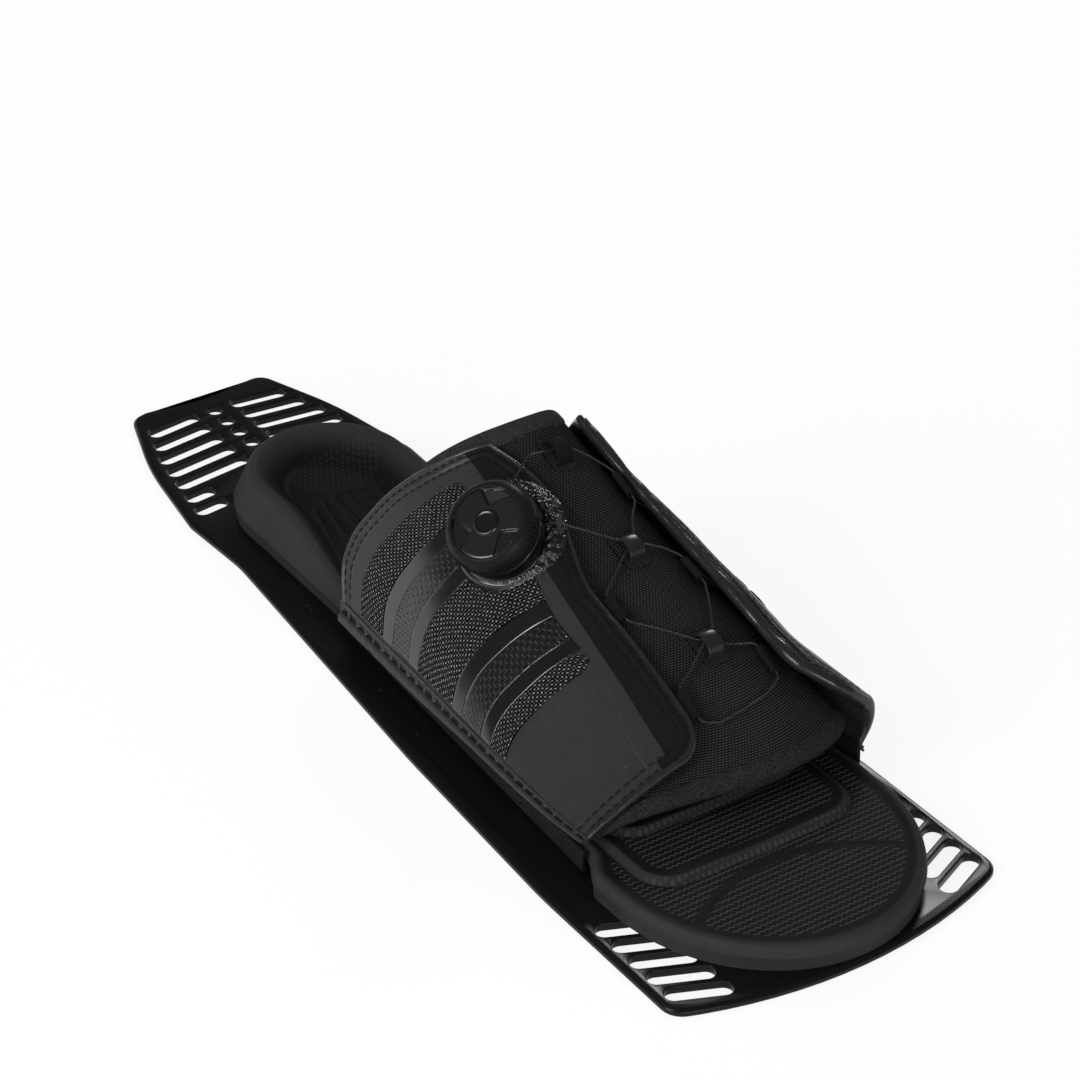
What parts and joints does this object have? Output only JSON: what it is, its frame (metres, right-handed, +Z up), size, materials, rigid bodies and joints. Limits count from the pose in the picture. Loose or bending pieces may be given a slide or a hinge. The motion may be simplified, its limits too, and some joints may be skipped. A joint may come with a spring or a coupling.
{
  "type": "water ski rear toe binding",
  "caption": "Rear toe binding for a slalom water ski: slotted fixing plate, moulded footbed with heel cup, and a laced two-flap upper tightened by a turning, pull-to-release lacing dial.",
  "frame": {"origin": "middle of the plate, on its underside", "axes": "+X to the toe along the ski, +Y to the wearer's left, +Z up from the ski"},
  "size_m": [0.4267, 0.1344, 0.0889],
  "materials": {
    "plate": "black anodised satin with a brushed grain",
    "footbed": "matte moulded foam",
    "clamp_strip": "mill finish",
    "screws": "plain steel",
    "knit": "fuzzy knit",
    "hem": "gathered synthetic leather strip",
    "tongue_fabric": "ribbed nylon weave",
    "velour": "velour binding",
    "binding": "woven binding",
    "flap_leather": "satin synthetic leather",
    "flap_mesh": "coarse woven mesh",
    "flap_stripe": "glossy film",
    "edge_band": "matte film",
    "webbing": "woven webbing",
    "keeper": "satin strap",
    "lace": "braided cord",
    "dial_gloss": "gloss",
    "steel": "turned",
    "dial_inner": "moulded",
    "dial_knob": "fine moulded grain",
    "dial_grip": "soft grip"
  },
  "bodies": {
    "binding": {"base_plate": "plate", "footbed": "footbed", "right_clamp_strip": "clamp_strip", "left_clamp_strip": "clamp_strip", "plate_screws": "screws", "right_skirt": "knit", "left_skirt": "knit", "right_hem": "hem", "left_hem": "hem", "tongue": "tongue_fabric", "tongue_front_binding": "velour", "tongue_rear_binding": "binding", "right_flap": "flap_leather", "left_flap": "flap_leather", "right_flap_mesh": "flap_mesh", "left_flap_mesh": "flap_mesh", "right_flap_stripes": "flap_stripe", "left_flap_stripes": "flap_stripe", "right_edge_band": "edge_band", "left_edge_band": "edge_band", "right_loop_rear": "webbing", "right_loop_front": "webbing", "left_loop_rear": "webbing", "left_loop_middle": "webbing", "left_loop_front": "webbing", "keeper_rear": "keeper", "keeper_middle": "keeper", "keeper_front": "keeper", "lace": "lace", "dial_base": "dial_gloss", "dial_axle": "steel"},
    "drive": {"dial_pawl_disc": "dial_inner"},
    "spool": {"dial_spool": "dial_inner"},
    "knob": {"dial_knob": "dial_knob", "dial_grip": "dial_grip", "dial_cap": "dial_gloss"}
  },
  "joints": [
    {"name": "dial_turn", "type": "hinge", "parent": "binding", "child": "drive", "pos_m": [0.026, -0.01212, 0.06703], "axis": [0.2406, -0.6309, 0.7376], "continuous": true},
    {"name": "knob_lift", "type": "slide", "parent": "drive", "child": "knob", "axis": [0.2406, -0.6309, 0.7376], "range_m": [0, 0.0025]},
    {"name": "spool_turn", "type": "hinge", "parent": "binding", "child": "spool", "pos_m": [0.026, -0.01212, 0.06703], "axis": [0.2406, -0.6309, 0.7376], "continuous": true}
  ],
  "couplings": [
    {"joint": "spool_turn", "follows": "dial_turn", "ratio": 1}
  ]
}
